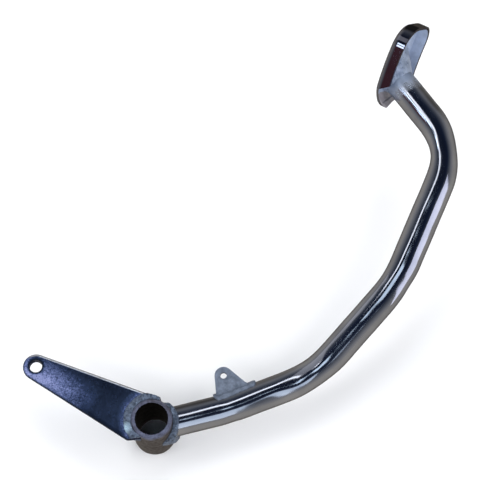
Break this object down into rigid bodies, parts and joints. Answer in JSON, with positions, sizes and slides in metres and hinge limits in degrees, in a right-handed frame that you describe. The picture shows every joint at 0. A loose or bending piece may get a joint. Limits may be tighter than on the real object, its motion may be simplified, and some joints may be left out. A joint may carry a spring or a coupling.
{
  "type": "motorcycle rear brake pedal",
  "caption": "Chromed motorcycle rear brake pedal: pivot sleeve, flat brake rod arm, bent tube lever, pressed foot pad and a small tab for the brake light switch spring, all welded.",
  "frame": {"origin": "centre of the pivot bore, halfway along the sleeve", "axes": "+Z along the pivot bore towards the outboard side of the motorcycle, +X forward and +Y up in use; the part lies on its inboard side"},
  "size_m": [0.317, 0.1839, 0.0921],
  "materials": {
    "polished_chrome": "bright mirror chrome over tube",
    "pad_chrome": "mirror chrome outside, dull plating inside",
    "arm_chrome": "satin, cloudy blue-grey plating",
    "sleeve_steel": "dull plating, brownish below",
    "tab_steel": "matte plating",
    "weld_metal": "plated weld bead, rippled"
  },
  "bodies": {
    "root": {"pivot_sleeve": "sleeve_steel", "brake_rod_arm": "arm_chrome", "pedal_tube": "polished_chrome", "foot_pad": "pad_chrome", "switch_spring_tab": "tab_steel", "weld_tube_to_sleeve": "weld_metal", "weld_arm_outboard": "weld_metal", "weld_arm_inboard": "weld_metal", "weld_tab_to_tube": "weld_metal", "weld_pad_to_tube": "weld_metal"}
  },
  "joints": []
}
